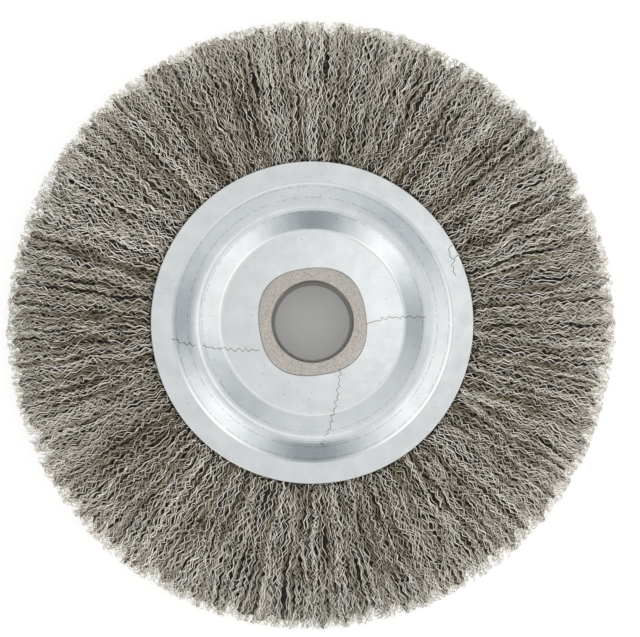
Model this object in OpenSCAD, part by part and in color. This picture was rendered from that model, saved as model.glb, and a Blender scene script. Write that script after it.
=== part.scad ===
// Crimped wire wheel brush, lying flat.
// The origin is the middle of the arbor bore and +Z runs along the bore. Sizes are in millimetres.
// Two stamped plates clamp wires that are folded round a steel hoop, and a peened bush holds the plates.

/* [Wheel] */
// Diameter over the wire tips
wheel_d = 250; // [236:1:270]
// Width of the wire face at the rim
face_w = 25; // [22:0.5:28]
// Diameter of the arbor bore
bore_d = 32; // [28:0.5:33]

/* [Face plates] */
// Outer diameter of each plate
plate_d = 131.5; // [128:0.5:142]
// Thickness of the plate's sheet
sheet_t = 1.5; // [1:0.1:2]
// Width over the flat outer faces of both plates
hub_w = 18; // [16:0.5:20]
// Width of the flat outer rim that clamps the wires
clamp_w = 9; // [6:0.5:12]
// Width of the raised ridge's outer flank
outer_flank_w = 10; // [9:0.5:12]
// Width of the raised ridge's inner flank
inner_flank_w = 9; // [8:0.5:11]
// Height at which the straight flanks of the ridge would meet
ridge_h = 5.6; // [4.5:0.1:6.5]
// Bend radius of the sheet's middle over the crest
crest_round = 5; // [4:0.5:7]
// Bend radius of the sheet's middle at both feet of the ridge
foot_round = 3; // [2:0.5:5]
// Radius on the cut outer edge of the plate
edge_round = 0.4; // [0.2:0.1:0.5]

/* [Bush] */
// Wall of the bush where it passes through the plates
neck_wall = 3.5; // [2.5:0.5:4.5]
// Step from that neck out to the shoulder that carries a plate
shoulder_step = 2; // [1:0.5:4]
// How far the peened end reaches over the plate, measured from the neck
peen_reach = 2.8; // [2:0.1:3.5]
// How much the peening tool flattened the four sides of that end
peen_square = 0.8; // [0:0.1:1.2]
// Turn of the four flattened sides about the bore
peen_turn = 7; // [0:1:44]
// Height of the peened end above the plate
peen_h = 1.7; // [1.2:0.1:2.2]
// Height of the peened end's outer edge above the plate
peen_edge_h = 0.8; // [0.4:0.1:1]
// Width of the flat ring between the mouth of the bore and the dome of the peened end
mouth_flat = 1.4; // [0.8:0.1:1.6]
// Chamfer at each mouth of the bore
bore_chamfer = 0.8; // [0.2:0.1:1]
// Radial clearance of the plates on the bush
neck_gap = 0.05; // [0.02:0.01:0.1]

/* [Core ring] */
// Diameter of the hoop's round bar
core_bar_d = 7; // [5:0.5:8]
// Clearance between the hoop and the folded wires
core_gap = 0.1; // [0.05:0.05:0.3]

/* [Wire fill] */
// Number of tufts round the wheel
tuft_count = 90; // [60:1:100]
// Number of half waves of the crimp between the plates and the rim
crimp_halves = 12; // [8:1:12]
// Sideways swing of the crimped tufts
crimp_swing = 0.65; // [0:0.05:0.8]
// Depth of the deepest grooves between the tufts at the rim
groove_depth = 2; // [1:0.1:4]
// Depth of the shallowest grooves and notches, as a share of the deepest
groove_least = 0.35; // [0.3:0.05:1]
// How far a groove strays from the middle between its tufts, as a share of half a tuft
groove_stray = 0.3; // [0:0.05:0.5]
// How far the shortest tufts stay behind the longest
tip_scatter = 3.5; // [0:0.5:6]
// How far the deepest notches cut into the rim between two tufts
notch_depth = 4; // [1:0.5:7]
// Unevenness of the tufts across the face
lift_scatter = 0.6; // [0:0.1:1.2]
// Radius at which the fill reaches its full width, as a distance from the rim
full_width_in = 14; // [10:1:24]
// How far the folded wires stay outside the ridge's inner foot
fold_in = 1.4; // [1:0.1:2.5]
// Clearance between the wires and the plates
fill_gap = 0.1; // [0.05:0.05:0.2]

/* [Hidden] */
$fn = 180;

bore_r = bore_d / 2;
neck_r = bore_r + neck_wall;
shoulder_r = neck_r + shoulder_step;
plate_r = plate_d / 2;
ridge_out_r = plate_r - clamp_w;
crest_r = ridge_out_r - outer_flank_w;
ridge_in_r = crest_r - inner_flank_w;
core_r = core_bar_d / 2;
rim_r = wheel_d / 2;
outer_z = hub_w / 2;
inner_z = outer_z - sheet_t;
bend_steps = 6;
edge_steps = 3;
cut_margin = 1;
sheet_colour = [0.80, 0.83, 0.85];

// The middle of the sheet from the bush to the outer edge, as corners that are then rounded
sheet_z = outer_z - sheet_t / 2;
sheet_corners = [
    [neck_r + neck_gap, sheet_z],
    [ridge_in_r, sheet_z],
    [crest_r, sheet_z + ridge_h],
    [ridge_out_r, sheet_z],
    [plate_r - edge_round, sheet_z]
];
sheet_rounds = [0, foot_round, crest_round, foot_round, 0];

// Heading from one point to the next
function heading(a, b) = atan2(b[1] - a[1], b[0] - a[0]);

// Corner i of a path as an arc: points with their headings
function bend(path, i, radius) =
    let (
        h0 = heading(path[i - 1], path[i]),
        turn = heading(path[i], path[i + 1]) - h0,
        side = sign(turn),
        start = path[i] - radius * tan(abs(turn) / 2) * [cos(h0), sin(h0)],
        centre = start + side * radius * [-sin(h0), cos(h0)]
    )
    [for (k = [0 : bend_steps])
        let (h = h0 + turn * k / bend_steps)
        [centre[0] + side * radius * sin(h), centre[1] - side * radius * cos(h), h]];

sheet_line = concat(
    [[sheet_corners[0][0], sheet_z, 0]],
    [for (i = [1 : 3]) each bend(sheet_corners, i, sheet_rounds[i])],
    [[sheet_corners[4][0], sheet_z, 0]]
);

// A line moved sideways by a distance, square to its heading
function moved(line, distance) =
    [for (p = line) [p[0] - distance * sin(p[2]), p[1] + distance * cos(p[2])]];

function reversed(list) = [for (i = [len(list) - 1 : -1 : 0]) list[i]];

function mirrored(list) = [for (p = list) [p[0], -p[1]]];

// Points of an arc from one angle to another
function arc(centre, radius, from, to, steps) =
    [for (k = [0 : steps])
        let (a = from + (to - from) * k / steps)
        centre + radius * [cos(a), sin(a)]];

// Section of the pressed sheet, with its cut edge rounded
plate_section = concat(
    moved(sheet_line, sheet_t / 2),
    arc([plate_r - edge_round, outer_z - edge_round], edge_round, 90, 0, edge_steps),
    arc([plate_r - edge_round, inner_z + edge_round], edge_round, 0, -90, edge_steps),
    reversed(moved(sheet_line, -sheet_t / 2))
);

// One stamped plate on the +Z side
module plate() {
    rotate_extrude() polygon(plate_section);
}

// Face plate on the upper side
module front_plate() {
    color(sheet_colour) plate();
}

// Face plate on the lower side
module rear_plate() {
    color(sheet_colour) mirror([0, 0, 1]) plate();
}

// Outline of the peened end: a circle with four sides flattened by the tool
peen_points = 96;
peen_outline = [for (k = [0 : peen_points - 1])
    let (a = 360 * k / peen_points)
    (neck_r + peen_reach - peen_square * cos(4 * (a - peen_turn))) * [cos(a), sin(a)]];

// Section of the peened end, domed towards its outer edge
end_z = outer_z + peen_h;
dome_steps = 6;
peen_max_r = neck_r + peen_reach + peen_square;
dome_in_r = bore_r + bore_chamfer + mouth_flat;
dome_section = concat(
    [[bore_r - cut_margin, outer_z], [bore_r - cut_margin, end_z]],
    [for (k = [0 : dome_steps])
        let (a = 90 * k / dome_steps)
        [dome_in_r + (peen_max_r - dome_in_r) * sin(a),
         outer_z + peen_edge_h + (peen_h - peen_edge_h) * cos(a)]],
    [[peen_max_r, outer_z]]
);

// The end of the bush that is hammered over one plate
module peened_end() {
    intersection() {
        rotate_extrude() polygon(dome_section);
        linear_extrude(height = end_z + cut_margin) polygon(peen_outline);
    }
}

// Bush with shoulders between the plates and peened ends outside them
module arbor_bushing() {
    color([0.62, 0.61, 0.58]) difference() {
        union() {
            translate([0, 0, -inner_z]) cylinder(r = shoulder_r, h = 2 * inner_z);
            translate([0, 0, -outer_z]) cylinder(r = neck_r, h = hub_w);
            peened_end();
            mirror([0, 0, 1]) peened_end();
        }
        translate([0, 0, -end_z - cut_margin]) cylinder(r = bore_r, h = 2 * (end_z + cut_margin));
        bore_mouth();
        mirror([0, 0, 1]) bore_mouth();
    }
}

// Cone that chamfers one mouth of the bore
module bore_mouth() {
    translate([0, 0, end_z - bore_chamfer])
        cylinder(r1 = bore_r, r2 = bore_r + bore_chamfer + cut_margin, h = bore_chamfer + cut_margin);
}

// A round bar bent into a hoop, with its surface moved out by a gap
module hoop(gap) {
    rotate_extrude() translate([crest_r, 0]) circle(r = core_r + gap);
}

// The hoop that the wires are folded round
module core_ring() {
    color([0.45, 0.44, 0.43]) hoop(0);
}

// Section of the fill's root: the fold round the hoop, then the legs clamped between the plates
clamped_line = moved(sheet_line, -sheet_t / 2 - fill_gap);
fold_reach = inner_flank_w - fold_in;
root_end_in = 1;
root_r = plate_r - root_end_in;
fold_steps = 6;
root_half = concat(
    [for (k = [1 : fold_steps])
        let (a = 90 * k / fold_steps, r = crest_r - fold_reach * cos(a))
        [r, lookup(r, clamped_line) * sin(a)]],
    [for (p = clamped_line) if (p[0] > crest_r && p[0] < root_r) [p[0], p[1]]],
    [[root_r, inner_z - fill_gap]]
);
root_section = concat([[crest_r - fold_reach, 0]], root_half, reversed(mirrored(root_half)));

// Tufts: every second column is the top of a tuft, and those between are the grooves
columns = 2 * tuft_count;
exit_out = 0.6;
exit_drop = 0.5;
exit_r = plate_r + exit_out;
exit_z = inner_z - exit_drop;
last_r = rim_r - notch_depth;
full_r = rim_r - full_width_in;
// The crown's inner wall lies in the clamped legs, so that the two are one solid
wall_in = 4;
wall_share = 0.6;
inner_wall = [plate_r - wall_in, inner_z * wall_share];
// How far the faces close in again between their full width and the tips
face_close = 1.2;
groove_start = 0.5;
// The tips are rounded: how far their edges stay behind, and how wide the round is
tip_round = 1;
tip_share = 0.26;
seed = 5;
tips = rands(0, 1, columns, seed);
lifts = rands(-1, 1, columns, seed + 1);
back_lifts = rands(-1, 1, columns, seed + 2);
swings = rands(0, 1, columns, seed + 3);
depths = rands(groove_least, 1, columns, seed + 4);
strays = rands(-1, 1, columns, seed + 5);

// Tops of tufts are evenly spaced, and a groove strays a little to one side
function place(j) = j + (j % 2 == 0 ? 0 : strays[j] * groove_stray);

// Which way a tuft swings first
function swing_sign(j) = swings[(j + columns) % columns] < 0.5 ? -1 : 1;

// Sideways swing of column j: a groove moves with the two tufts beside it
function swing(j) =
    j % 2 == 0 ? swing_sign(j) : (swing_sign(j - 1) + swing_sign(j + 1)) / 2;

// Half width of the fill at radius r, before the grooves
function half_width(r) =
    exit_z + (face_w / 2 - lift_scatter - exit_z) * sin(90 * min(1, (r - exit_r) / (full_r - exit_r)))
    - (r > full_r ? face_close * pow((r - full_r) / full_width_in, 2) : 0);

// Share of the way from the plates to the rim
function outward(i) = i / crimp_halves;

// One point on the fill, by column, radius, height and sideways shift
function fill_point(j, r, z, shift) =
    let (a = 360 * place(j) / columns + shift / r * 180 / PI)
    [r * cos(a), r * sin(a), z];

// Point i of column j on one face of the fill
function face_point(j, i, lift, side) =
    let (
        r = exit_r + (last_r - exit_r) * outward(i) - (j % 2 == 0 ? 0 : outward(i) * notch_depth / 2),
        deepest = groove_depth * depths[j],
        groove = j % 2 == 0 ? 0 : groove_start + (deepest - groove_start) * outward(i),
        z = half_width(r) - groove + lift * lift_scatter * outward(i),
        sway = swing(j) * crimp_swing * (i % 2 == 0 ? 1 : -1) * (i == 0 ? 0 : 1)
    )
    fill_point(j, r, side * z, sway);

// Radius of the rim at column j: most tufts are near the full length
function tip_r(j) =
    rim_r - pow(tips[j], 2) * tip_scatter - (j % 2 == 0 ? 0 : notch_depth * depths[j]);

// One column of points, once round the section of the fill
function column(j) = concat(
    [fill_point(j, inner_wall[0], inner_wall[1], 0)],
    [for (i = [0 : crimp_halves]) face_point(j, i, lifts[j], 1)],
    [fill_point(j, tip_r(j) - tip_round, face_w * tip_share, 0),
     fill_point(j, tip_r(j), 0, 0),
     fill_point(j, tip_r(j) - tip_round, -face_w * tip_share, 0)],
    [for (i = [crimp_halves : -1 : 0]) face_point(j, i, back_lifts[j], -1)],
    [fill_point(j, inner_wall[0], -inner_wall[1], 0)]
);

// The crown of tufts as one closed skin
module crown() {
    rows = len(column(0));
    skin = [for (j = [0 : columns - 1]) each column(j)];
    faces = [for (j = [0 : columns - 1], i = [0 : rows - 1])
        let (
            a = j * rows + i,
            b = j * rows + (i + 1) % rows,
            c = ((j + 1) % columns) * rows + (i + 1) % rows,
            d = ((j + 1) % columns) * rows + i
        )
        each [[a, c, b], [a, d, c]]];
    polyhedron(points = skin, faces = faces);
}

// The wires: folded root with the hoop's channel in it, and the crown of crimped tufts
module wire_fill() {
    color([0.56, 0.53, 0.48]) difference() {
        union() {
            rotate_extrude() polygon(root_section);
            crown();
        }
        hoop(core_gap);
    }
}

front_plate();
rear_plate();
arbor_bushing();
core_ring();
wire_fill();
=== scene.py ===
import math
import random

import bmesh
import bpy
from mathutils import Matrix, Vector, noise
from mathutils.bvhtree import BVHTree


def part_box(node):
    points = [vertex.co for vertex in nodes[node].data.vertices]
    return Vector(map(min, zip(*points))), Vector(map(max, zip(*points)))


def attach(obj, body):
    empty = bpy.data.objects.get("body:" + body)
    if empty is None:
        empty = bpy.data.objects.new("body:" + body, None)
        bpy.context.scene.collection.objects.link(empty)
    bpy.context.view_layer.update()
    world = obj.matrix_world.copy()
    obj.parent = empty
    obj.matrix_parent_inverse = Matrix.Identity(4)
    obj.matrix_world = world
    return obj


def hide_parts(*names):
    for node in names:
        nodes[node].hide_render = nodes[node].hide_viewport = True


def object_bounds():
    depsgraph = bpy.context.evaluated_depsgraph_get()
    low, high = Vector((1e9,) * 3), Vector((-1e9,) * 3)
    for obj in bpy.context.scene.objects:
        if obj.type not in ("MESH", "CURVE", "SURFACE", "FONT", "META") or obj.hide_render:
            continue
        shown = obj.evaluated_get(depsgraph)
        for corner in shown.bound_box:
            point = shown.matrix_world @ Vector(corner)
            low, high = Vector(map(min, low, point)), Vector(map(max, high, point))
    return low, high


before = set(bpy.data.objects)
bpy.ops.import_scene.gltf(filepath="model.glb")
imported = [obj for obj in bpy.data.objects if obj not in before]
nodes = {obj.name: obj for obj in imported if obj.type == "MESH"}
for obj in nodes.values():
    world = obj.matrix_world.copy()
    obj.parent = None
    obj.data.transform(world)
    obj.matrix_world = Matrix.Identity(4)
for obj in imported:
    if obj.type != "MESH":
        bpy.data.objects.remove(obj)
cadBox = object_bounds()
mm = 0.001
print("frame loaded:", sorted(nodes))


# sizes that several pieces share, taken from the frame
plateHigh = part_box("front_plate")[1]
fillLow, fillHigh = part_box("wire_fill")
plateRadius = plateHigh.x
rimRadius = min(fillHigh.x, fillHigh.y, -fillLow.x, -fillLow.y)
floorLevel = cadBox[0].z


# colours are written as sRGB hex and turned linear here
def hexColour(code):
    channels = [int(code[i:i + 2], 16) / 255 for i in (1, 3, 5)]
    linear = [c / 12.92 if c <= 0.04045 else ((c + 0.055) / 1.055) ** 2.4 for c in channels]
    return (*linear, 1.0)


# adds one node: settings as keywords, sockets by name or number as values or links, and the stops
# of a ramp; a node that is given as a link stands for its first output
def addNode(tree, kind, sockets=None, stops=(), **settings):
    node = tree.nodes.new("ShaderNode" + kind)
    for name, value in settings.items():
        setattr(node, name, value)
    for name, value in (sockets or {}).items():
        if isinstance(value, bpy.types.Node):
            value = value.outputs[0]
        if isinstance(value, bpy.types.NodeSocket):
            tree.links.new(value, node.inputs[name])
        else:
            node.inputs[name].default_value = value
    for k, (place, colour) in enumerate(stops):
        elements = node.color_ramp.elements
        stop = elements[k] if k < len(elements) else elements.new(place)
        stop.position, stop.color = place, colour
    return node


def newMaterial(name):
    material = bpy.data.materials.new(name)
    material.use_nodes = True
    material.node_tree.nodes.clear()
    return material, material.node_tree


def grey(level):
    return (level, level, level, 1.0)


# place on a piece, distance from the wheel's axis and angle about it
def polarPlace(tree):
    place = addNode(tree, "TexCoord").outputs["Object"]
    parts = addNode(tree, "SeparateXYZ", {"Vector": place})
    flat = addNode(tree, "CombineXYZ", {"X": parts.outputs["X"], "Y": parts.outputs["Y"]})
    radius = addNode(tree, "VectorMath", {0: flat}, operation="LENGTH").outputs["Value"]
    angle = addNode(tree, "Math", {0: parts.outputs["Y"], 1: parts.outputs["X"]}, operation="ARCTAN2")
    return place, radius, angle


# camera: over the wheel, a little nearer to its lower edge as the picture is held
camera = {
    "height": 330 * mm,            # above the middle of the wheel
    "offset": (-2 * mm, -8 * mm),  # where it stands over the wheel
    "focalPixels": 789.5,           # distance at which one pixel is one unit wide
    "frameWidth": 640,
    "frameHeight": 637,
    "hubPixel": (312.7, 321.4),    # where the middle of the front plate shows
}


def makeCamera():
    data = bpy.data.cameras.new("camera")
    data.sensor_width = 36
    data.lens = data.sensor_width * camera["focalPixels"] / camera["frameWidth"]
    data.clip_start, data.clip_end = 0.01, 20
    eye = bpy.data.objects.new("camera", data)
    bpy.context.scene.collection.objects.link(eye)
    x, y = camera["offset"]
    eye.location = (x, y, camera["height"])
    # it looks at the point that falls on the middle of the picture
    drop = camera["height"] - plateHigh.z
    perPixel = drop / camera["focalPixels"]
    target = Vector((
        (camera["frameWidth"] / 2 - camera["hubPixel"][0]) * perPixel,
        (camera["hubPixel"][1] - camera["frameHeight"] / 2) * perPixel,
        plateHigh.z,
    ))
    look = (target - eye.location).normalized()
    eye.rotation_mode = "QUATERNION"
    side = look.cross(Vector((0, 1, 0))).normalized()
    up = side.cross(look)
    eye.rotation_quaternion = Matrix((side, up, -look)).transposed().to_quaternion()
    bpy.context.scene.camera = eye


makeCamera()
print("camera placed")


# wires: sizes of the crimped legs that run from the plates to the rim
wire = {
    "gauge": 0.3 * mm,              # circle round the triangular section of a drawn wire
    "looseGauge": 0.24 * mm,        # of single wires seen against the plate
    "crimpPitch": 3.5 * mm,         # length of one full wave
    "crimpHeight": 0.7 * mm,        # swing to either side
    "swings": (0.75, 1.2),          # how much of that swing one wire has
    "bends": (0.5, 1.5),            # and one bend of it
    "upright": 0.8,                 # share of a bend that is kept where it turns up or down
    "startRadius": plateRadius - 1.2 * mm,
    "faceEnd": rimRadius - 6.2 * mm,  # from here on the face rounds off to the tips
    "tipDrop": 4 * mm,
    "tipSpread": (1.7 * mm, 1.6 * mm),  # mean and scatter of the tips, past the solid's rim
    "tipGap": 0.3 * mm,             # between the longest wires and the rim's circle
    "tipWear": 1.1 * mm,            # how far tips fall short of that
    "lean": 0.9 * mm,               # how far a tip strays sideways
    "drift": 0.2 * mm,              # sideways unevenness from one bend to the next
    "gather": 2.1 * mm,             # how far neighbours stray together
    "locks": (11, 12 * mm, 3),      # how finely that changes: round, outwards, place in the noise
    "inStep": 0.65,                 # share of the wires that bend in step with their neighbours
    "shift": 3.2,                   # how far the crests of neighbours run out of step
    "ripples": (34, 7 * mm, 11),    # how finely that changes: round, outwards, place in the noise
    "ownShift": 0.12,               # scatter of the crests from wire to wire, in half waves
    "unevenStep": 0.18,             # and from bend to bend
    "steps": (0.5, 1.5),            # shortest and longest half wave
    "dive": 0.44 * mm,              # how a wire goes under its neighbours and comes up again
    "twist": 0.6,                   # turn of the crimp's plane from one bend to the next, in radians
    "kept": {"plane": 0.7, "drift": 0.8, "dive": 0.3},  # what a bend keeps of the one before
    "proud": 0.5 * mm,              # how far a bend may stand out of the face
    "freeing": 4 * mm,              # length over which a wire comes free of the plates
    "tuck": 0.9 * mm,               # how much deeper the wires lie at the very edge of the plate
    "tuckReach": 2.5 * mm,
    "betweenFrom": (plateRadius + 2 * mm, rimRadius - 14 * mm),  # where wires between others come up
    "emerge": 1.6 * mm,             # how deep they come from
    "rise": 7 * mm,                 # and over what length
    "unevenAngle": 0.01,
    "seed": 19,
}


# surface of one or more CAD pieces, to lay wires on
def surfaceOf(*names):
    bm = bmesh.new()
    for name in names:
        bm.from_mesh(nodes[name].data)
    surface = BVHTree.FromBMesh(bm)
    bm.free()
    return surface


fillSurface = surfaceOf("wire_fill")


# height of the fill's face over the middle of the wheel
def faceLevel(radius, angle, side):
    reach = min(radius, wire["faceEnd"])
    above = Vector((reach * math.cos(angle), reach * math.sin(angle), side * 50 * mm))
    hit = fillSurface.ray_cast(above, Vector((0, 0, -side)))[0]
    past = (radius - reach) / (rimRadius - wire["faceEnd"])
    return abs(hit.z) - wire["tipDrop"] * past * past


# radius of the fill's rim at its middle
def rimAt(angle):
    outward = Vector((math.cos(angle), math.sin(angle), 0))
    return fillSurface.ray_cast(outward * 200 * mm, -outward)[0].length


# slow, even wandering that neighbouring wires share, so that they gather in locks
def wander(angle, radius, side, field):
    grain, length, layer = field
    place = (math.cos(angle) * grain, math.sin(angle) * grain, radius / length + layer * side)
    return noise.noise(Vector(place))


# the points of one crimped leg: a zigzag with a point at each crest of the crimp
def crimpedLeg(dice, angle, inner, outer, side, depth=0.0, share=1.0, emerge=0.0):
    swing = wire["crimpHeight"] * dice.uniform(*wire["swings"])
    pitch = wire["crimpPitch"] / 2
    own = dice.gauss(0, wire["ownShift"]) if dice.random() < wire["inStep"] else dice.uniform(0, 2)
    lean = dice.gauss(0, wire["lean"])
    kept, (shortest, longest) = wire["kept"], wire["steps"]
    plane = drift = dive = 0.0
    start = out = inner - pitch * dice.random()
    crest = math.ceil(start / pitch + own)
    strand = []
    while out < outer:
        # the next crest lies where the phase of the crimp, partly shared with the neighbours, says
        phase = out / pitch + own + wire["shift"] * wander(angle, out, side, wire["ripples"])
        step = min(longest, max(shortest, crest - phase)) + dice.gauss(0, wire["unevenStep"])
        out = min(outer, out + pitch * step)
        sign = 1 if crest % 2 else -1
        crest += 1
        along = (out - start) / (outer - start)
        plane = kept["plane"] * plane + dice.gauss(0, wire["twist"])
        drift = kept["drift"] * drift + dice.gauss(0, wire["drift"])
        dive = kept["dive"] * dive + dice.gauss(0, wire["dive"])
        bend = sign * swing * dice.uniform(*wire["bends"])
        sideways = bend * math.cos(plane) + drift + lean * along * along
        sideways += wire["gather"] * wander(angle, out, side, wire["locks"])
        face = faceLevel(out, angle, side)
        free = min(1.0, max(0.0, (out - wire["startRadius"]) / wire["freeing"]))
        rising = max(0.0, 1 - (out - start) / wire["rise"])
        level = share * face - depth - emerge * rising
        level += free * (wire["upright"] * bend * math.sin(plane) - abs(dive))
        level -= wire["tuck"] * max(0.0, 1 - abs(out - plateRadius) / wire["tuckReach"])
        level = min(level, face + wire["proud"] * free)
        a = angle + sideways / out
        strand.append((out * math.cos(a), out * math.sin(a), side * level))
    return strand


# triangular section that every wire is drawn with, one flat of it turned up or down, so that a
# wire catches the light over its whole width
def wireSection(gauge, side):
    section = bpy.data.curves.new("wireSection", "CURVE")
    spline = section.splines.new("POLY")
    spline.points.add(2)
    for k, point in enumerate(spline.points):
        a = 2 * math.pi * k / 3 - side * math.pi / 2
        point.co = (gauge / 2 * math.cos(a), gauge / 2 * math.sin(a), 0, 1)
    spline.use_cyclic_u = True
    holder = bpy.data.objects.new("wireSection", section)
    bpy.context.scene.collection.objects.link(holder)
    return holder


# draws a list of strands as one mesh piece, and lets go of the curve it came from
def drawStrands(name, strands, materials, gauge, side):
    section = wireSection(gauge, side)
    curve = bpy.data.curves.new(name, "CURVE")
    curve.dimensions = "3D"
    curve.twist_mode = "Z_UP"
    curve.bevel_mode = "OBJECT"
    curve.bevel_object = section
    curve.use_fill_caps = True
    for material in materials:
        curve.materials.append(material)
    for points, tone in strands:
        spline = curve.splines.new("POLY")
        spline.points.add(len(points) - 1)
        spline.points.foreach_set("co", [c for p in points for c in (*p, 1.0)])
        spline.material_index = tone
        spline.use_smooth = False  # each flat of a wire then shines on its own
    drawn = bpy.data.objects.new(name, curve)
    bpy.context.scene.collection.objects.link(drawn)
    bpy.context.view_layer.update()
    mesh = bpy.data.meshes.new_from_object(drawn.evaluated_get(bpy.context.evaluated_depsgraph_get()))
    for old in (drawn, section):
        data = old.data
        bpy.data.objects.remove(old)
        bpy.data.curves.remove(data)
    bm = bmesh.new()
    bm.from_mesh(mesh)
    bmesh.ops.remove_doubles(bm, verts=bm.verts, dist=0.001 * mm)
    bmesh.ops.recalc_face_normals(bm, faces=bm.faces)
    bm.to_mesh(mesh)
    triangles = sum(len(face.verts) - 2 for face in bm.faces)
    bm.free()
    mesh.name = name
    piece = bpy.data.objects.new(name, mesh)
    bpy.context.scene.collection.objects.link(piece)
    print(name, len(strands), "wires,", triangles, "triangles")
    return piece


# wires per layer: those that show from the plate on, those that come up between them further out,
# and how deep in millimetres they lie below the face; the lower layer mostly takes the dark finish, as
# painted shade
legs = {
    "upper": {"count": 820, "between": 0, "curls": 0, "depth": (-0.2, 0.5), "tones": (0, 0, 1, 1, 2, 2)},
    "middle": {"count": 0, "between": 860, "curls": 110, "depth": (-0.25, 0.5), "tones": (0, 1, 1, 2, 2)},
    "lower": {"count": 380, "between": 260, "curls": 0, "depth": (0.5, 1.4), "tones": (2, 3, 3, 3)},
}
rim = {"count": 2200, "length": (6, 11), "share": (0.03, 0.97), "tones": (0, 0, 1, 1, 2, 3)}


goldenAngle = math.pi * (3 - math.sqrt(5))  # steps of this size spread evenly round the wheel


# how far out a wire ends at an angle: near the solid's rim, and never past its circle
def tipRadius(dice, angle):
    longest = rimRadius - wire["tipGap"] - abs(dice.gauss(0, wire["tipWear"]))
    return min(longest, rimAt(angle) + dice.gauss(*wire["tipSpread"]))


def faceStrands(dice, layer, side):
    strands = []
    for k in range(layer["count"]):
        angle = 2 * math.pi * (k + dice.uniform(-0.5, 0.5)) / layer["count"]
        depth = dice.uniform(*layer["depth"]) * mm
        points = crimpedLeg(dice, angle, wire["startRadius"], tipRadius(dice, angle), side, depth)
        strands.append((points, dice.choice(layer["tones"])))
    for k in range(layer["between"]):
        angle = k * goldenAngle + dice.uniform(-wire["unevenAngle"], wire["unevenAngle"])
        depth = dice.uniform(*layer["depth"]) * mm
        inner = dice.uniform(*wire["betweenFrom"])
        outer = tipRadius(dice, angle)
        points = crimpedLeg(dice, angle, inner, outer, side, depth, emerge=wire["emerge"])
        strands.append((points, dice.choice(layer["tones"])))
    strands += [(curl(dice, side), 0) for k in range(layer["curls"])]
    return strands


# shape of a wire that sprang out of line
bow = {
    "innermost": plateRadius + 5 * mm,
    "outermost": rimRadius - 9 * mm,
    "plateGap": 1 * mm,
    "heading": 1.6,        # how far it may point off the radius, in radians
    "turn": (0.2, 0.5),    # from one point to the next
    "unevenTurn": 0.35,
    "points": (4, 8),
    "step": (0.9, 1.5),    # millimetres
}


# such a wire lies across its neighbours in a bow
def curl(dice, side):
    radius = math.sqrt(dice.uniform(bow["innermost"] ** 2, bow["outermost"] ** 2))
    angle = dice.uniform(0, 2 * math.pi)
    place = Vector((radius * math.cos(angle), radius * math.sin(angle)))
    heading = angle + dice.uniform(-bow["heading"], bow["heading"])
    turn = dice.choice((-1, 1)) * dice.uniform(*bow["turn"])
    strand = []
    for k in range(dice.randint(*bow["points"])):
        if not plateRadius + bow["plateGap"] < place.length < wire["faceEnd"]:
            break
        level = faceLevel(place.length, math.atan2(place.y, place.x), side) + wire["proud"] / 2
        strand.append((place.x, place.y, side * level))
        heading += turn + dice.uniform(-bow["unevenTurn"], bow["unevenTurn"])
        ahead = Vector((math.cos(heading), math.sin(heading)))
        place += ahead * dice.uniform(*bow["step"]) * mm
    return strand


# stubs that fill the rim between the middle and one face
def rimStrands(dice, side):
    strands = []
    for k in range(rim["count"]):
        angle = 2 * math.pi * (k + dice.uniform(-0.5, 0.5)) / rim["count"]
        outer = tipRadius(dice, angle)
        inner = outer - dice.uniform(*rim["length"]) * mm
        points = crimpedLeg(dice, angle, inner, outer, side, share=dice.uniform(*rim["share"]))
        strands.append((points, dice.choice(rim["tones"])))
    return strands


# painted light: the wires are painted brighter towards the rim, for the light of the white table that
# reaches the tips
paintedRimLight = {"from": 100 * mm, "share": 0.5, "colour": "#fffaf0"}
oilPatch = 12 * mm


# crimped steel wire: drawn, grey, with a warm film of oil and a narrow bright line of gloss
def wireMaterial(name, light, dark, roughness):
    material, tree = newMaterial(name)
    place, radius = polarPlace(tree)[:2]
    film = addNode(tree, "TexNoise", {"Vector": place, "Scale": 1 / oilPatch})
    colour = addNode(tree, "ValToRGB", {"Fac": film}, [(0.35, hexColour(dark)), (0.65, hexColour(light))])
    # painted light: towards the rim the wire's colour is mixed with near white
    rimLit = addNode(tree, "MapRange", {"Value": radius, "From Min": paintedRimLight["from"], "From Max": rimRadius,
                                      "To Max": paintedRimLight["share"]})
    colour = addNode(tree, "MixRGB", {"Fac": rimLit, "Color1": colour,
                                      "Color2": hexColour(paintedRimLight["colour"])})
    shader = addNode(tree, "BsdfPrincipled",
                     {"Base Color": colour, "Metallic": 1.0, "Roughness": roughness})
    addNode(tree, "OutputMaterial", {"Surface": shader})
    return material


# the dark finish is painted shade on the deep lower wires, and a dark tone of wire elsewhere
wireFinishes = [
    wireMaterial("crimped steel wire, grey", "#dfd9cd", "#cbc3b4", 0.28),
    wireMaterial("crimped steel wire, bright", "#fbf7ef", "#efe8da", 0.22),
    wireMaterial("crimped steel wire, oiled", "#a89c86", "#938874", 0.34),
    wireMaterial("crimped steel wire, dark tone and painted shade", "#5e564b", "#4d463d", 0.4),
]


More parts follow.
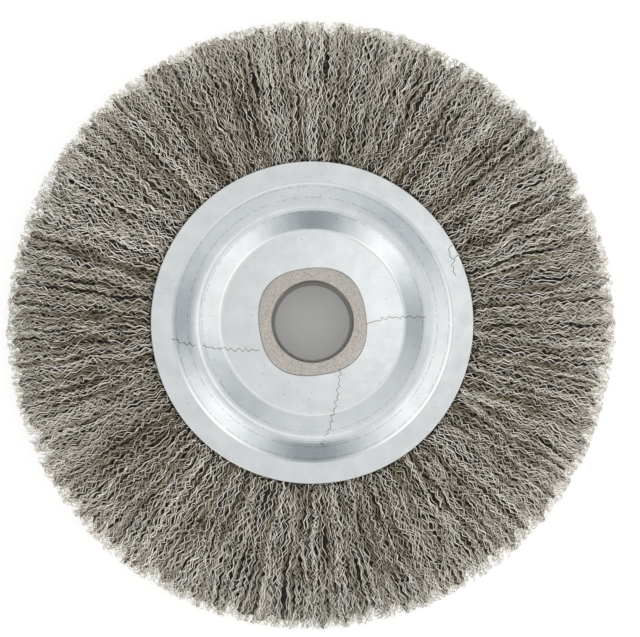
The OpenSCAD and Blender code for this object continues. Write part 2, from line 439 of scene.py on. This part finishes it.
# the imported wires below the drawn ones: dark, because hardly any light gets in
core = {
    "innerRadius": plateRadius - 2 * mm,
    "rimGap": 2.2 * mm,         # how far its outer edge stays inside the solid's rim
    "below": 1.9 * mm,          # how far its faces stay below the solid's
    "rings": 24,
    "turns": 450,
    "roughness": 0.5 * mm,      # unevenness of its faces
    "roughGrain": 2.1 * mm,
    "ragged": 2.2 * mm,         # unevenness of its outer edge
    "raggedGrain": 1.3 * mm,
    "strand": 0.55 * mm,        # width of one wire in its pattern, at the next radius
    "patternRadius": 95 * mm,
    "strandLength": 9 * mm,     # after which a wire of the pattern gives way to another
    "wave": 3.9 * mm,           # length of the crimp in its pattern
    "swing": 2.6 * mm,
    "patch": 4 * mm,            # size of a patch of wires that bend together
    "patchShift": 4.0,          # how far patches are out of step, in waves
    "shadow": (0.44, "#0b0a08"),
    "middle": (0.54, "#29241f"),
    "light": (0.66, "#665d51"),
    # wire ends near the tips, where light gets in: from the middle of an end to the gap beside it
    "ends": ((0.22, "#d6cbb8"), (0.42, "#8a7f70"), (0.68, "#2b2620")),
    "endsFrom": rimRadius - 12 * mm,
    "endsFull": rimRadius - 3 * mm,
    "endsShare": 0.9,
}


# packed wires: near black between the strands, duller than the drawn wires, with pale ends at the rim
def packedWireMaterial():
    material, tree = newMaterial("packed steel wire in shadow")
    place, radius, angle = polarPlace(tree)
    strandsPerRadian = core["patternRadius"] / core["strand"]
    around = addNode(tree, "Math", {0: angle, 1: strandsPerRadian}, operation="MULTIPLY")
    patch = addNode(tree, "TexNoise", {"Vector": place, "Scale": 1 / core["patch"]})
    waves = addNode(tree, "Math", {0: radius, 1: core["wave"]}, operation="DIVIDE")
    phase = addNode(tree, "Math", {0: patch, 1: core["patchShift"], 2: waves}, operation="MULTIPLY_ADD")
    crimp = addNode(tree, "Math", {0: phase, 1: 0.5}, operation="PINGPONG")
    swing = core["swing"] / core["strand"]
    across = addNode(tree, "Math", {0: crimp, 1: swing, 2: around}, operation="MULTIPLY_ADD")
    along = addNode(tree, "Math", {0: radius, 1: core["strandLength"]}, operation="DIVIDE")
    strip = addNode(tree, "CombineXYZ", {"X": across, "Y": along})
    strands = addNode(tree, "TexNoise", {"Vector": strip, "Scale": 1.0})
    stops = [(share, hexColour(code)) for share, code in (core["shadow"], core["middle"], core["light"])]
    colour = addNode(tree, "ValToRGB", {"Fac": strands}, stops)
    opened = addNode(tree, "MapRange", {"Value": radius, "From Min": core["endsFrom"],
                                        "From Max": core["endsFull"], "To Max": core["endsShare"]})
    spots = addNode(tree, "TexVoronoi", {"Vector": place, "Scale": 1 / core["strand"]})
    stops = [(share, hexColour(code)) for share, code in core["ends"]]
    ends = addNode(tree, "ValToRGB", {"Fac": spots}, stops)
    colour = addNode(tree, "MixRGB", {"Fac": opened, "Color1": colour, "Color2": ends})
    shader = addNode(tree, "BsdfPrincipled", {"Base Color": colour, "Roughness": 0.8})
    addNode(tree, "OutputMaterial", {"Surface": shader})
    return material


# one section is spun round the wheel, then drawn onto the solid's own tufts and notches; a
# section's height is first only its share of the full height
def makeCore():
    bm = bmesh.new()
    inner, outer = core["innerRadius"], rimRadius
    radii = [inner + (outer - inner) * k / core["rings"] for k in range(core["rings"] + 1)]
    outline = [(r, 1.0) for r in radii] + [(outer, share) for share in (0.5, 0, -0.5)]
    outline += [(r, -1.0) for r in reversed(radii)]
    verts = [bm.verts.new((r, 0, share)) for r, share in outline]
    edges = [bm.edges.new((a, b)) for a, b in zip(verts, verts[1:] + verts[:1])]
    bmesh.ops.spin(bm, geom=verts + edges, cent=(0, 0, 0), axis=(0, 0, 1), dvec=(0, 0, 0),
                   angle=2 * math.pi, steps=core["turns"], use_merge=True)
    for v in bm.verts:
        angle, share = math.atan2(v.co.y, v.co.x), v.co.z
        side = 1 if share > 0 else -1
        outwards = (math.hypot(v.co.x, v.co.y) - inner) / (outer - inner)
        radius = inner + outwards * (rimAt(angle) - core["rimGap"] - inner)
        level = abs(share) * (faceLevel(radius, angle, side) - core["below"])
        spot = Vector((radius * math.cos(angle), radius * math.sin(angle), side * level))
        radius += core["ragged"] * outwards ** 4 * noise.noise(spot / core["raggedGrain"])
        uneven = noise.noise(spot / core["roughGrain"] + Vector((9, 0, 0)))
        level += core["roughness"] * uneven * abs(share)
        v.co = (radius * math.cos(angle), radius * math.sin(angle), side * level)
    bmesh.ops.recalc_face_normals(bm, faces=bm.faces)
    print("packedWires", sum(len(face.verts) - 2 for face in bm.faces), "triangles")
    mesh = bpy.data.meshes.new("packedWires")
    bm.to_mesh(mesh)
    bm.free()
    piece = bpy.data.objects.new("packedWires", mesh)
    mesh.materials.append(packedWireMaterial())
    bpy.context.scene.collection.objects.link(piece)
    return piece


dice = random.Random(wire["seed"])
wirePieces = [makeCore()]
for faceName, side in (("front", 1), ("rear", -1)):
    for layerName in (*legs, "rim"):
        layer = legs.get(layerName)
        strands = faceStrands(dice, layer, side) if layer else rimStrands(dice, side)
        name = f"{faceName}Wires.{layerName}"
        wirePieces.append(drawStrands(name, strands, wireFinishes, wire["gauge"], side))
for piece in wirePieces:
    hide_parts("wire_fill")
    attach(piece, "root")
print("wires made")


# broken wires that came to lie on the front plate: start and end by angle in degrees and
# radius in millimetres, and the swing of their crimp
looseWires = {
    "paths": (
        ((-2, 22.0), (2, 46.5), 0.9),
        ((-60, 22.6), (-86, 50.0), 0.8),
        ((208, 24.5), (187, 58.0), 0.8),
        ((18, 61.0), (25, 65.0), 0.7),
        ((24, 62.5), (29, 64.8), 0.6),
    ),
    "step": 1.35 * mm,          # from crest to crest
    "unevenStep": 0.35,         # scatter of the crests, in steps
    "bends": (0.1, 0.4, 0.8, 1.0),  # shares of its swing that a bend has
    "bow": 1.4 * mm,            # how far its middle lies beside the straight line
    "sunk": 0.3,                # height of its middle over the plate, in gauges
    "seed": 7,
}


# points of a loose wire, each laid on the plate below it
def looseStrand(dice, hubSurface, path):
    (startAngle, startRadius), (endAngle, endRadius), swing = path
    corners = []
    for angle, radius in ((startAngle, startRadius), (endAngle, endRadius)):
        turn = math.radians(angle)
        corners.append(Vector((math.cos(turn), math.sin(turn), 0)) * radius * mm)
    run = corners[1] - corners[0]
    square = Vector((-run.y, run.x, 0)).normalized()
    steps = max(3, int(run.length / looseWires["step"]))
    strand = []
    for k in range(steps + 1):
        uneven = dice.uniform(-looseWires["unevenStep"], looseWires["unevenStep"])
        along = min(1.0, max(0.0, (k + uneven) / steps))
        crimp = (swing if k % 2 else -swing) * dice.choice(looseWires["bends"]) * mm
        sideways = math.sin(math.pi * along) * looseWires["bow"] + crimp
        point = corners[0] + run * along + square * sideways
        ground = hubSurface.ray_cast(point + Vector((0, 0, 0.1)), Vector((0, 0, -1)))[0]
        level = ground.z + wire["looseGauge"] * looseWires["sunk"]
        level = min(level, plateHigh.z - wire["looseGauge"] / 2)
        strand.append((ground.x, ground.y, level))
    return strand


def makeLooseWires():
    hubSurface = surfaceOf("front_plate", "arbor_bushing")
    dice = random.Random(looseWires["seed"])
    strands = [(looseStrand(dice, hubSurface, path), 0) for path in looseWires["paths"]]
    piece = drawStrands("looseWires", strands, [wireFinishes[3]], wire["looseGauge"], 1)
    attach(piece, "root")


makeLooseWires()
print("loose wires laid on the plate")


# radii of the pressed plate's lines in millimetres, and the look of its zinc
plating = {
    "cloud": 8 * mm,                    # size of the mottled patches
    "light": "#eceff0",
    "dull": "#dfe3e4",
    # painted highlights: thin white lines at the bends at both feet of the ridge
    "highlightLines": (37.8, 56.5),        # the bends at both feet of the ridge
    "highlightWidth": 0.5,
    "highlightShare": 0.9,
    "shine": "#ffffff",
    "darkLines": (44.2, 50.2, 55.3),    # thin dark lines beside the crest and the outer bend
    "darkWidth": 0.28,
    "linePatch": 1.6 * mm,                  # size of the patches over which the dark lines show or not
    "darkLineShare": 0.4,
    "darkLineColour": "#7d8486",
    "specks": 4.5 * mm,                 # from speck to speck
    "speckSize": (0.035, 0.075),        # dark middle and faint edge, as shares of that
    "speckShare": 0.55,
    "speck": "#5f6465",
    "scratchLength": 9 * mm,
    "scratchWidth": 0.35 * mm,
    "scratchTurn": 0.9,                 # direction of the scratches, in radians
    "scratchShare": 0.25,
    # painted shade: a dark band on the plate round the foot of the peened end
    "scratch": "#8d9496",
    "cornerShade": "#55544f",
    "cornerShadeShare": 0.8,
    "cornerShadeRadius": 22.3 * mm,           # outline of the peened end, whose tool left four flats
    "cornerShadeWidth": 1 * mm,
    "cornerShadeFlats": 0.8 * mm,
    "cornerShadeTurn": math.radians(7),
    "grain": 0.5 * mm,
    "grainDepth": 0.06 * mm,
    "gloss": (0.18, 0.24),              # roughness from the smooth grains to the dull ones
    "dents": 7 * mm,
    "dentDepth": 0.25 * mm,
}


# stops of a ramp over the plate's radius that is dark but for thin lines
def lineStops(radii, width, strength):
    stops = [(0.0, grey(0))]
    for line in radii:
        for offset, level in ((-1.0, 0), (-0.4, strength), (0.4, strength), (1.0, 0)):
            stops.append(((line + offset * width) * mm / plateRadius, grey(level)))
    return stops


# zinc-plated pressed steel: pale, a little blue, satin, with painted highlights at the bends, thin
# dark lines, fine specks and a few hair scratches
def zincMaterial():
    material, tree = newMaterial("zinc-plated pressed steel")
    place, radius, angle = polarPlace(tree)
    outwards = addNode(tree, "Math", {0: radius, 1: plateRadius}, operation="DIVIDE")
    cloud = addNode(tree, "TexNoise", {"Vector": place, "Scale": 1 / plating["cloud"], "Detail": 4.0})
    colour = addNode(tree, "ValToRGB", {"Fac": cloud},
                     [(0.3, hexColour(plating["dull"])), (0.7, hexColour(plating["light"]))])
    # painted highlights: thin white lines over the radius at the bends
    stops = lineStops(plating["highlightLines"], plating["highlightWidth"], plating["highlightShare"])
    bright = addNode(tree, "ValToRGB", {"Fac": outwards}, stops)
    colour = addNode(tree, "MixRGB", {"Fac": bright, "Color1": colour,
                                      "Color2": hexColour(plating["shine"])})

    # the thin dark lines are broken up in patches
    stops = lineStops(plating["darkLines"], plating["darkWidth"], 1.0)
    dark = addNode(tree, "ValToRGB", {"Fac": outwards}, stops)
    linePatch = addNode(tree, "TexNoise", {"Vector": place, "Scale": 1 / plating["linePatch"]})
    stops = [(0.42, grey(0)), (0.56, grey(plating["darkLineShare"]))]
    broken = addNode(tree, "ValToRGB", {"Fac": linePatch}, stops)
    mark = addNode(tree, "Math", {0: dark, 1: broken}, operation="MULTIPLY")
    colour = addNode(tree, "MixRGB", {"Fac": mark, "Color1": colour,
                                      "Color2": hexColour(plating["darkLineColour"])})

    # specks of dirt, a few millimetres apart
    cells = addNode(tree, "TexVoronoi", {"Vector": place, "Scale": 1 / plating["specks"]})
    middle, edge = plating["speckSize"]
    stops = [(middle, grey(plating["speckShare"])), (edge, grey(0))]
    speck = addNode(tree, "ValToRGB", {"Fac": cells}, stops)
    colour = addNode(tree, "MixRGB", {"Fac": speck, "Color1": colour,
                                      "Color2": hexColour(plating["speck"])})

    # hair scratches
    length, width = 1 / plating["scratchLength"], 1 / plating["scratchWidth"]
    turned = addNode(tree, "Mapping", {"Vector": place, "Rotation": (0, 0, plating["scratchTurn"]),
                                       "Scale": (length, width, length)})
    streak = addNode(tree, "TexNoise", {"Vector": turned, "Scale": 1.0})
    stops = [(0.69, grey(0)), (0.74, grey(plating["scratchShare"]))]
    hair = addNode(tree, "ValToRGB", {"Fac": streak}, stops)
    colour = addNode(tree, "MixRGB", {"Fac": hair, "Color1": colour,
                                      "Color2": hexColour(plating["scratch"])})

    # painted shade in the corner round the peened end
    turn = -4 * plating["cornerShadeTurn"]
    quarter = addNode(tree, "Math", {0: angle, 1: 4.0, 2: turn}, operation="MULTIPLY_ADD")
    flats = addNode(tree, "Math", {0: quarter}, operation="COSINE")
    beyond = addNode(tree, "Math", {0: flats, 1: plating["cornerShadeFlats"], 2: radius},
                     operation="MULTIPLY_ADD")
    outline = plating["cornerShadeRadius"]
    corner = addNode(tree, "MapRange", {"Value": beyond, "From Min": outline,
                                        "From Max": outline + plating["cornerShadeWidth"]})
    stops = [(0.25, grey(plating["cornerShadeShare"])), (0.6, grey(0))]
    cornerShade = addNode(tree, "ValToRGB", {"Fac": corner}, stops)
    colour = addNode(tree, "MixRGB", {"Fac": cornerShade, "Color1": colour,
                                      "Color2": hexColour(plating["cornerShade"])})

    grain = addNode(tree, "TexNoise", {"Vector": place, "Scale": 1 / plating["grain"]})
    smooth, rough = plating["gloss"]
    gloss = addNode(tree, "ValToRGB", {"Fac": grain}, [(0.3, grey(smooth)), (0.7, grey(rough))])
    dents = addNode(tree, "TexNoise", {"Vector": place, "Scale": 1 / plating["dents"]})
    dented = addNode(tree, "Bump", {"Height": dents, "Strength": 0.35, "Distance": plating["dentDepth"]})
    bump = addNode(tree, "Bump", {"Height": grain, "Strength": 0.15, "Distance": plating["grainDepth"],
                                  "Normal": dented})
    shader = addNode(tree, "BsdfPrincipled",
                     {"Base Color": colour, "Metallic": 1.0, "Roughness": gloss, "Normal": bump})
    addNode(tree, "OutputMaterial", {"Surface": shader})
    return material


# look of the bush
peening = {
    "marks": 0.55 * mm,             # size of a hammered grain
    "depth": 0.28 * mm,
    "stains": 5 * mm,
    "cool": "#cfcbc5",
    "warm": "#d9cfc6",
    "pit": "#7d7973",
    "pitShare": 0.5,
    "bore": "#4b4b4a",
    "boreShadeShare": 0.6,
    "boreEdge": (16.3 * mm, 16.9 * mm),  # radii between which its painted shade gives way
    "roughness": 0.3,
}


# peened steel: bare and warm grey, hammered into fine grains that sparkle, with painted shade in the bore
def peenedMaterial():
    material, tree = newMaterial("peened bare steel")
    place, radius = polarPlace(tree)[:2]
    stains = addNode(tree, "TexNoise", {"Vector": place, "Scale": 1 / peening["stains"], "Detail": 3.0})
    colour = addNode(tree, "ValToRGB", {"Fac": stains},
                     [(0.35, hexColour(peening["cool"])), (0.65, hexColour(peening["warm"]))])
    marks = addNode(tree, "TexNoise", {"Vector": place, "Scale": 1 / peening["marks"], "Detail": 3.0})
    stops = [(0.35, grey(peening["pitShare"])), (0.55, grey(0))]
    pits = addNode(tree, "ValToRGB", {"Fac": marks}, stops)
    colour = addNode(tree, "MixRGB", {"Fac": pits, "Color1": colour, "Color2": hexColour(peening["pit"])})
    # painted shade: the colour darkens towards the bore
    inside, outside = peening["boreEdge"]
    boreShade = addNode(tree, "MapRange", {"Value": radius, "From Min": inside, "From Max": outside,
                                         "To Min": peening["boreShadeShare"], "To Max": 0.0})
    colour = addNode(tree, "MixRGB", {"Fac": boreShade, "Color1": colour,
                                      "Color2": hexColour(peening["bore"])})
    bump = addNode(tree, "Bump", {"Height": marks, "Strength": 0.9, "Distance": peening["depth"]})
    shader = addNode(tree, "BsdfPrincipled", {"Base Color": colour, "Metallic": 1.0,
                                              "Roughness": peening["roughness"], "Normal": bump})
    addNode(tree, "OutputMaterial", {"Surface": shader})
    return material


def dress(name, material):
    mesh = nodes[name].data
    mesh.materials.clear()
    mesh.materials.append(material)


zinc = zincMaterial()
dress("front_plate", zinc)
dress("rear_plate", zinc)
dress("arbor_bushing", peenedMaterial())
dress("core_ring", wireFinishes[0])
print("hub dressed")


# studio: a pale room whose light comes round the wheel in broad patches
studio = {
    "zenith": 0.785,
    "window": (0.098, 0.057, 0.994),  # direction of a brighter patch near the zenith
    "windowGain": 0.53,
    "windowEdge": (0.993, 0.9993),    # cosines between which it fades in
    "slope": (0.70, 0.93),            # heights in the sky between which the low light ends
    "floor": "#f4f4f2",
    # light low over the table by direction, counted from +X towards +Y in eighths of a turn
    "around": (0.99, 0.61, 0.79, 0.755, 0.50, 1.20, 0.33, 1.11),
    "glow": (0.09, 0.42),             # lifts the table top where it is seen: in the bore, outside
    "glowFrom": (40 * mm, 110 * mm),  # radii between which that changes
    "tableSize": 3.0,
}


# the dim directions are a little blue and the bright ones neutral
dim = {"from": 0.85, "range": 0.5, "lessRed": 0.10, "moreBlue": 0.06}


def skyTone(level):
    dimness = min(1.0, max(0.0, (dim["from"] - level) / dim["range"]))
    return (level * (1 - dim["lessRed"] * dimness), level, level * (1 + dim["moreBlue"] * dimness), 1.0)


def makeWorld():
    world = bpy.data.worlds.new("studio")
    bpy.context.scene.world = world
    world.use_nodes = True
    tree = world.node_tree
    tree.nodes.clear()
    direction = addNode(tree, "TexCoord").outputs["Generated"]
    parts = addNode(tree, "SeparateXYZ", {"Vector": direction})
    turn = addNode(tree, "Math", {0: parts.outputs["Y"], 1: parts.outputs["X"]}, operation="ARCTAN2")
    turns = addNode(tree, "Math", {0: turn, 1: 2 * math.pi}, operation="DIVIDE")
    share = addNode(tree, "Math", {0: turns, 1: 1.0}, operation="FLOORED_MODULO")
    levels = studio["around"] + studio["around"][:1]
    stops = [(k / 8, skyTone(level)) for k, level in enumerate(levels)]
    around = addNode(tree, "ValToRGB", {"Fac": share}, stops)
    around.color_ramp.interpolation = "EASE"
    lowEnd, highEnd = studio["slope"]
    height = parts.outputs["Z"]
    high = addNode(tree, "MapRange", {"Value": height, "From Min": lowEnd, "From Max": highEnd})
    sky = addNode(tree, "MixRGB", {"Fac": high, "Color1": around, "Color2": grey(studio["zenith"])})
    window = addNode(tree, "VectorMath", {0: direction, 1: studio["window"]}, operation="DOT_PRODUCT")
    nearness, (edge, middle) = window.outputs["Value"], studio["windowEdge"]
    inside = addNode(tree, "MapRange", {"Value": nearness, "From Min": edge, "From Max": middle})
    bright = grey(studio["zenith"] + studio["windowGain"])
    sky = addNode(tree, "MixRGB", {"Fac": inside, "Color1": sky, "Color2": bright})
    seen = addNode(tree, "LightPath").outputs["Is Camera Ray"]
    light = addNode(tree, "Background", {"Color": sky})
    white = addNode(tree, "Background", {"Color": grey(1.0)})
    shown = addNode(tree, "MixShader", {"Fac": seen, 1: light, 2: white})
    addNode(tree, "OutputWorld", {"Surface": shown})


# white table top: seen as white, and it keeps the wheel's soft shadow
def makeFloor():
    bm = bmesh.new()
    bmesh.ops.create_grid(bm, x_segments=1, y_segments=1, size=studio["tableSize"])
    bmesh.ops.translate(bm, verts=bm.verts, vec=(0, 0, floorLevel))
    mesh = bpy.data.meshes.new("tableTop")
    bm.to_mesh(mesh)
    bm.free()
    table = bpy.data.objects.new("tableTop", mesh)
    bpy.context.scene.collection.objects.link(table)
    material, tree = newMaterial("white table top")
    rays = addNode(tree, "LightPath").outputs
    seen = addNode(tree, "Math", {0: rays["Is Camera Ray"], 1: rays["Is Glossy Ray"]}, operation="MAXIMUM")
    seen = addNode(tree, "Math", {0: seen, 1: rays["Is Transmission Ray"]}, operation="MAXIMUM")
    radius = polarPlace(tree)[1]
    (nearest, farthest), (inBore, outside) = studio["glowFrom"], studio["glow"]
    lift = addNode(tree, "MapRange", {"Value": radius, "From Min": nearest, "From Max": farthest,
                                      "To Min": inBore, "To Max": outside})
    strength = addNode(tree, "Math", {0: seen, 1: lift}, operation="MULTIPLY")
    top = addNode(tree, "BsdfDiffuse", {"Color": hexColour(studio["floor"])})
    glow = addNode(tree, "Emission", {"Color": grey(1.0), "Strength": strength})
    both = addNode(tree, "AddShader", {0: top, 1: glow})
    addNode(tree, "OutputMaterial", {"Surface": both})
    mesh.materials.append(material)


makeWorld()
makeFloor()
bpy.context.scene.view_settings.view_transform = "Standard"
print("studio lit")
